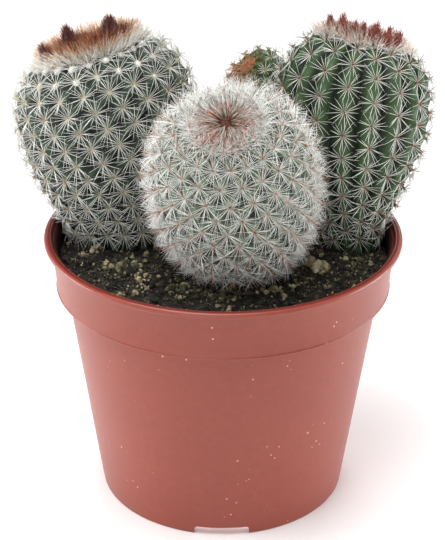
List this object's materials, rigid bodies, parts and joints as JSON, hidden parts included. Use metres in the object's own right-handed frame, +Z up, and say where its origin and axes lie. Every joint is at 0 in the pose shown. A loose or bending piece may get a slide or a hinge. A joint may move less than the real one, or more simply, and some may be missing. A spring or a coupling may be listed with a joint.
{
  "type": "potted round cactus",
  "caption": "Ribbed, club-shaped round cacti with white spines and red-brown crowns, grouped in a thin plastic nursery pot of soil.",
  "frame": {"origin": "on the pot's axis, on the ground that the pot stands on", "axes": "+Z up; the picture looks along +Y, so +X is to its right and the front plant is on the -Y side"},
  "size_m": [0.1471, 0.12, 0.1624],
  "materials": {
    "pot_plastic": "satin terracotta-coloured moulded plastic",
    "soil": "dark peat with tan and white grit",
    "cactus_left_skin": "grey-green ribbed skin under dense white spines",
    "cactus_front_skin": "pale green ribbed skin under very dense white spines",
    "cactus_right_skin": "darker green, clearly ribbed skin under white spines",
    "cactus_back_skin": "green ribbed skin under short white spines",
    "crown_left_growth": "red-brown bristles and woolly pointed buds",
    "crown_front_growth": "red-brown bristles",
    "crown_right_growth": "red-brown finger-like buds and bristles",
    "crown_back_growth": "orange-brown bristles"
  },
  "bodies": {
    "root": {"pot": "pot_plastic", "soil": "soil", "cactus_left": "cactus_left_skin", "cactus_front": "cactus_front_skin", "cactus_right": "cactus_right_skin", "cactus_back": "cactus_back_skin", "crown_left": "crown_left_growth", "crown_front": "crown_front_growth", "crown_right": "crown_right_growth", "crown_back": "crown_back_growth"}
  },
  "joints": []
}
